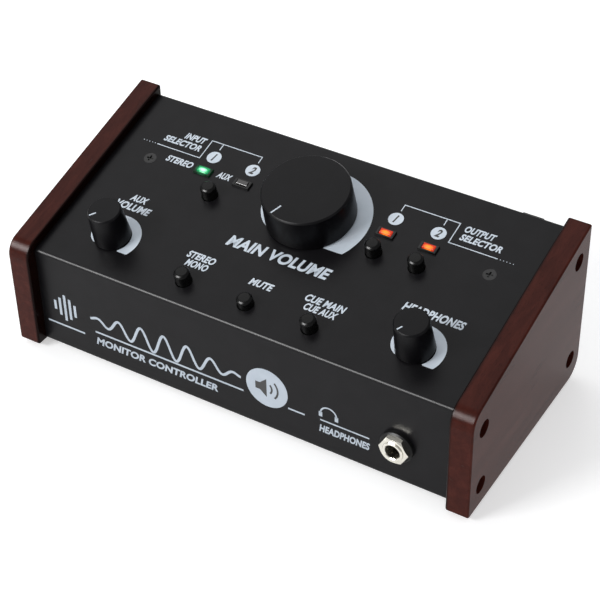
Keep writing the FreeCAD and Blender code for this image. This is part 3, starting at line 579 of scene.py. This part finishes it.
BUTTON_RADIUS = 3.45
BUTTON_LENGTH = 8.4
BUTTON_WELL = 5.5           # how far the plunger reaches into the cap
WELL_RADIUS = 2.3
CAP_SHOULDER = 0.8
CAP_FLAT = 2.45
CAP_ROUNDING = 1.1


def button(name):
    """A round cap with a domed top, hollow over its plunger, as high as its CAD node."""
    centre = TOP.inverted() @ middle(f"{name}_button")
    top = centre.z + BUTTON_LENGTH / 2
    low = top - BUTTON_LENGTH
    profile = [(0, low + BUTTON_WELL), (WELL_RADIUS, low + BUTTON_WELL), (WELL_RADIUS, low),
               (BUTTON_RADIUS - 0.1, low), (BUTTON_RADIUS, low + 0.1)]
    profile += rounded([(BUTTON_RADIUS, low + 0.2), (BUTTON_RADIUS, top - CAP_SHOULDER),
                        (CAP_FLAT, top - 0.05), (0.6, top)], CAP_ROUNDING, 8)
    profile += [(0, top)]
    place = TOP @ Matrix.Translation((centre.x, centre.y, 0))
    made = piece(f"{name}_cap", turned(profile, 64), place, BUTTON, f"{name}_switch", 50)
    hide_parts(f"{name}_button")


for NAME in ("input", "output_1", "output_2", "mono", "mute", "pfl"):
    button(NAME)


# ---------------------------------------------------------------- printing on the top

def print_top():
    """Scales, legends and the lines that join the selector numbers."""
    ink = bmesh.new()
    numerals = bmesh.new()
    for joint, inner, full, cut in (("main_volume_turn", 18.9, 7.3, 13.8),
                                    ("aux_volume_turn", 8.2, 4.2, 6.25),
                                    ("phones_volume_turn", 8.2, 4.2, 6.25)):
        merge(ink, crescent(*top_place(JOINTS[joint]["pos_m"]), inner, full, cut))
    disc_y = 11.9
    disc_radius = 3.3
    numeral_height = 4.2
    bracket_y = 20.1
    bracket_foot = bracket_y - 3.6
    tail_y = 9.2
    for side in (-1, 1):
        inner_x = SWITCH_MIDDLE + side * 34.9
        outer_x = SWITCH_MIDDLE + side * 54.7
        bend_x = SWITCH_MIDDLE + side * 60.6
        tail_x = SWITCH_MIDDLE + side * 82.7
        merge(ink, line([(inner_x, bracket_foot), (inner_x, bracket_y), (bend_x, bracket_y),
                         (bend_x, tail_y), (tail_x, tail_y)], LINE_WIDTH))
        merge(ink, line([(outer_x, bracket_foot), (outer_x, bracket_y)], LINE_WIDTH))
        for k in range(5):
            merge(ink, dot(tail_x + side * (1.2 + 1.45 * k), tail_y, LINE_WIDTH / 2, count=12))
        for number, x in ((1, outer_x if side < 0 else inner_x), (2, inner_x if side < 0 else outer_x)):
            merge(ink, dot(x, disc_y, disc_radius))
            width = 1.5 if number == 1 else 2.5
            numeral = words(str(number), x, disc_y - numeral_height / 2, width, numeral_height, slant=0.25)
            merge(numerals, numeral, Matrix.Translation((0, 0, OVER_INK)))
    for text, x, y, width, height, align in (
            ("INPUT", -62.8, 16.6, 10.6, 3.5, "right"),
            ("SELECTOR", -62.8, 12.1, 18.8, 3.5, "right"),
            ("OUTPUT", 63.7, 16.6, 13.8, 3.5, "left"),
            ("SELECTOR", 63.7, 12.1, 18.8, 3.5, "left"),
            ("STEREO", -67.5, 2.2, 13.4, 3.5, "middle"),
            ("AUX", -44.6, 2.4, 7.0, 3.5, "middle"),
            ("AUX", -72.0, -23.4, 8.4, 3.6, "middle"),
            ("VOLUME", -72.0, -28.5, 17.4, 3.9, "middle"),
            ("MAIN VOLUME", 0.0, -28.3, 49.0, 5.9, "middle"),
            ("STEREO", -29.6, -40.3, 13.4, 3.6, "middle"),
            ("MONO", -29.4, -44.5, 10.6, 3.6, "middle"),
            ("MUTE", 0.9, -42.5, 11.0, 3.6, "middle"),
            ("CUE MAIN", 30.0, -40.5, 18.4, 3.6, "middle"),
            ("CUE AUX", 30.0, -44.7, 15.0, 3.6, "middle"),
            ("HEADPHONES", 72.6, -28.8, 27.2, 4.2, "middle")):
        merge(ink, words(text, SWITCH_MIDDLE + x, y, width, height, align))
    piece("top_print", ink, TOP, INK, smooth=20)
    piece("top_numerals", numerals, TOP, DARK_INK, smooth=20)


print_top()


# ---------------------------------------------------------------- printing on the front and the back

def print_front():
    """A level-bar sign, a drawn wave, a round loudspeaker sign and the headphone socket's legend."""
    ink = bmesh.new()
    for k, height in enumerate((5.0, 9.5, 14.0, 11.0, 6.5)):
        x = -92.0 + 2.6 * k
        merge(ink, line([(x, 22.5 - height / 2), (x, 22.5 + height / 2)], 1.3))
    merge(ink, line([(-97.0, 12.2), (-77.5, 12.2)], 0.9))
    wave = []
    count = 260
    for k in range(count + 1):
        share = k / count
        swell = math.sin(math.pi * share) ** 0.8
        wave.append((-73.5 + 76.0 * share, 22.6 + 5.6 * swell * math.sin(2 * math.pi * 6.5 * share)))
    merge(ink, line(wave, 1.25))
    merge(ink, line([(-71.5, 15.8), (3.5, 15.8)], 0.9))
    merge(ink, line([(25.0, 15.8), (32.8, 15.8)], 0.8))
    merge(ink, words("MONITOR CONTROLLER", -71.5, 9.0, 62.2, 4.0, "left"))
    merge(ink, dot(15.0, 22.2, 9.9, count=96))
    band_x = 44.0
    band_z = 20.6
    band_radius = 3.7
    merge(ink, line(arc(band_x, band_z, band_radius, 0, 180), 0.7))
    for side in (-1, 1):
        ear_x = band_x + side * band_radius
        merge(ink, line([(ear_x, band_z - 2.0), (ear_x, band_z + 0.5)], 1.6))
    merge(ink, line([(40.1, 16.7), (62.7, 16.7)], 0.7))
    merge(ink, words("HEADPHONES", 51.3, 10.2, 23.4, 3.9))
    piece("front_print", ink, FRONT, FRONT_INK, smooth=20)

    dark = bmesh.new()
    over = OVER_INK + INK_DEPTH
    horn = [(9.5, 20.3), (11.7, 20.3), (14.9, 17.3), (14.9, 27.1), (11.7, 24.1), (9.5, 24.1)]
    merge(dark, prism(horn, OVER_INK, over))
    for radius in (3.4, 6.2):
        merge(dark, line(arc(14.0, 22.2, radius, -42, 42), 0.9, OVER_INK, over))
    piece("front_sign", dark, FRONT, DARK_INK, smooth=20)


print_front()


def print_rear():
    """Plain legends over the sockets, seen from behind."""
    ink = bmesh.new()
    for node, text, width in (("combo_socket_left", "INPUT L", 14.0),
                              ("combo_socket_right", "INPUT R", 14.0),
                              ("xlr_outlet_left", "OUT 1 L", 14.0),
                              ("xlr_outlet_right", "OUT 1 R", 14.0),
                              ("line_jacks", "OUT 2", 10.0),
                              ("aux_mini_jack", "AUX IN", 12.0)):
        place = REAR.inverted() @ middle(node)
        low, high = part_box(node)
        merge(ink, words(text, place.x, (high.z - COVER_LOW.z) / MM + 2.0, width, 2.6, slant=0.0))
    piece("rear_print", ink, REAR, INK, smooth=20)


print_rear()


# ---------------------------------------------------------------- lamps and socket

def bezel(name, x, y, material):
    """A raised frame round a lens, softly bevelled, with a skirt through the panel."""
    stations = ((3.3, 1.75, 0.3, -3.0), (3.3, 1.75, 0.3, 0.02),
                (4.15, 2.25, 0.3, 0.02), (4.15, 2.25, 0.3, 0.55),
                (4.0, 2.1, 0.3, 0.92), (3.75, 1.9, 0.25, 1.0), (3.0, 1.55, 0.2, 0.95),
                (2.76, 1.31, 0.1, 0.7), (2.76, 1.31, 0.1, -3.0))
    bm = loft([rounded_box(*station) for station in stations], closed=True)
    return piece(name, bm, TOP @ Matrix.Translation((x, y, 0)), material, smooth=40)


LAMP_Y = top_place(middle("stereo_lamp"))[1]


def lamps():
    """The four frames round the lenses, the one round the lit green lens with the lamp's light painted on it as a
    faint glow.
    """
    # The green frame's emission is painted lamplight, not a lamp of its own.
    green_frame_painted_glow = lit("bezel_green_painted_glow", lens_middle("stereo_lamp"), (4.5, 2.7), FRAME_PAINTED_GLOW, FRAME_BODY, 0.8)
    for name, node, material in (("stereo", "stereo_lamp", green_frame_painted_glow), ("aux", "aux_lamp", BEZEL)):
        place = TOP.inverted() @ middle(node)
        bezel(f"{name}_bezel", place.x, LAMP_Y, material)
    for name, x in (("output_1", AMBER_LOW.x / MM + LENS_HALF[0]),
                    ("output_2", AMBER_HIGH.x / MM - LENS_HALF[0])):
        bezel(f"{name}_bezel", x, LAMP_Y, BEZEL)
    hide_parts("lamp_bezels")


lamps()


# ---------------------------------------------------------------- floor and light

def add_floor():
    """A plain white floor that glows a little, so that it stays white away from the lights."""
    mesh = bpy.data.meshes.new("floor")
    half = 6.0
    corners = [(-half, -half, 0), (half, -half, 0), (half, half, 0), (-half, half, 0)]
    mesh.from_pydata(corners, [], [(0, 1, 2, 3)])
    floor = bpy.data.objects.new("floor", mesh)
    SCENE.collection.objects.link(floor)
    white = finish("floor_white", grey(0.80), grey(0.84), 0.7, 0.05, 0.02, 400.0, Specular_IOR_Level=0.1)
    shader = white.node_tree.nodes["Principled BSDF"]
    shader.inputs["Emission Color"].default_value = (1.0, 1.0, 1.0, 1.0)
    shader.inputs["Emission Strength"].default_value = 0.46
    mesh.materials.append(white)


def add_light(name, place, size, radiance, only_mirrored=False):
    """A soft rectangular light aimed at the object, as bright as its radiance says.

    One that is only mirrored draws highlights on edges and adds nothing to matt surfaces.
    """
    data = bpy.data.lights.new(name, "AREA")
    data.shape = "RECTANGLE"
    data.size, data.size_y = size
    data.energy = radiance * math.pi * size[0] * size[1]
    lamp = bpy.data.objects.new(name, data)
    lamp.location = place
    lamp.rotation_euler = (Vector((0, 0, 0.03)) - Vector(place)).to_track_quat("-Z", "Y").to_euler()
    lamp.visible_diffuse = not only_mirrored
    SCENE.collection.objects.link(lamp)


def add_world():
    """A faint, nearly white sky."""
    world = bpy.data.worlds.new("world")
    world.use_nodes = True
    world.node_tree.nodes["Background"].inputs["Color"].default_value = (0.97, 0.98, 1.0, 1.0)
    world.node_tree.nodes["Background"].inputs["Strength"].default_value = 0.50
    SCENE.world = world


add_floor()
add_light("overhead", (-0.72, 0.58, 1.52), (1.3, 1.2), 1.5)
add_light("key", (-0.72, -1.14, 0.96), (0.6, 0.28), 26.0)
add_light("strip", (-0.66, -1.14, 0.93), (1.0, 0.85), 30.0, only_mirrored=True)
add_light("fill", (1.6, -0.5, 0.9), (0.8, 0.8), 0.5)
add_world()
SCENE.view_settings.view_transform = "Standard"
